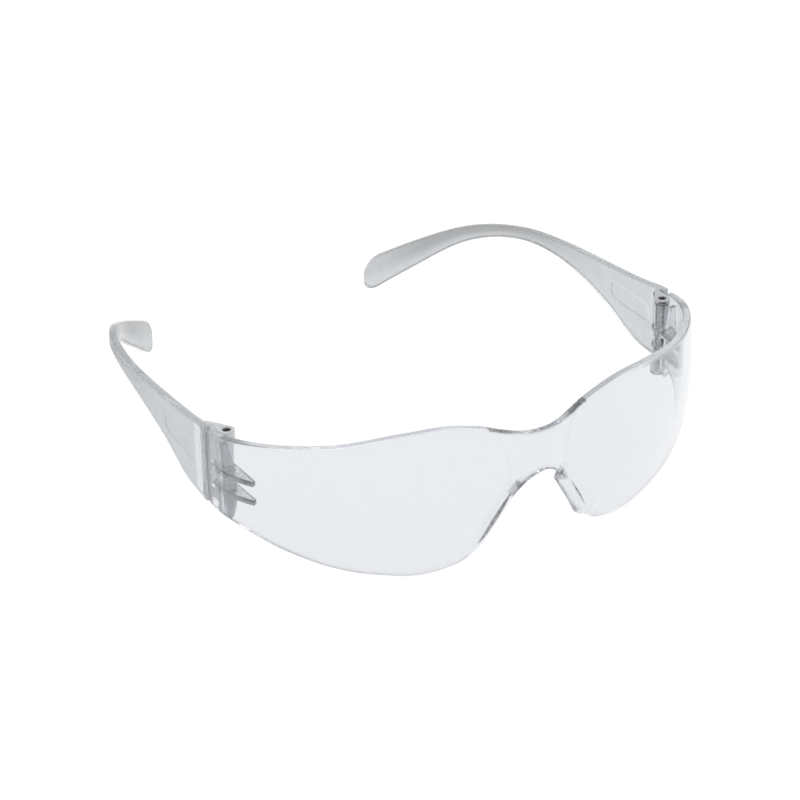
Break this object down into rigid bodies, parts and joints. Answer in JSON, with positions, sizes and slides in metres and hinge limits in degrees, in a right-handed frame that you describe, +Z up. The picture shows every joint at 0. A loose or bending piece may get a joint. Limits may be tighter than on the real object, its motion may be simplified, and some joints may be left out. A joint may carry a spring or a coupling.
{
  "type": "safety glasses",
  "caption": "Clear one-piece wraparound safety glasses with moulded nose bridge and two frosted folding temples on vertical screw hinges.",
  "frame": {"origin": "on the ground at the middle of the glasses' box, as they rest on a table with the temples open", "axes": "+Y from the lens towards the temple tips, +X to the wearer's left, +Z up; the lens looks toward -Y"},
  "size_m": [0.143, 0.1545, 0.0435],
  "materials": {
    "clear_polycarbonate": "clear, polished",
    "frosted_polycarbonate": "translucent, fine frosted texture",
    "screw_steel": "plain steel"
  },
  "bodies": {
    "shield": {"lens_shield": "clear_polycarbonate", "hinge_screw_right": "screw_steel", "hinge_screw_left": "screw_steel"},
    "right_arm": {"temple_right": "frosted_polycarbonate"},
    "left_arm": {"temple_left": "frosted_polycarbonate"}
  },
  "joints": [
    {"name": "right_hinge", "type": "hinge", "parent": "shield", "child": "right_arm", "pos_m": [-0.06664, -0.03176, 0.026], "axis": [0, 0, -1], "range_deg": [0, 75]},
    {"name": "left_hinge", "type": "hinge", "parent": "shield", "child": "left_arm", "pos_m": [0.06664, -0.03176, 0.026], "axis": [0, 0, 1], "range_deg": [0, 85]}
  ]
}
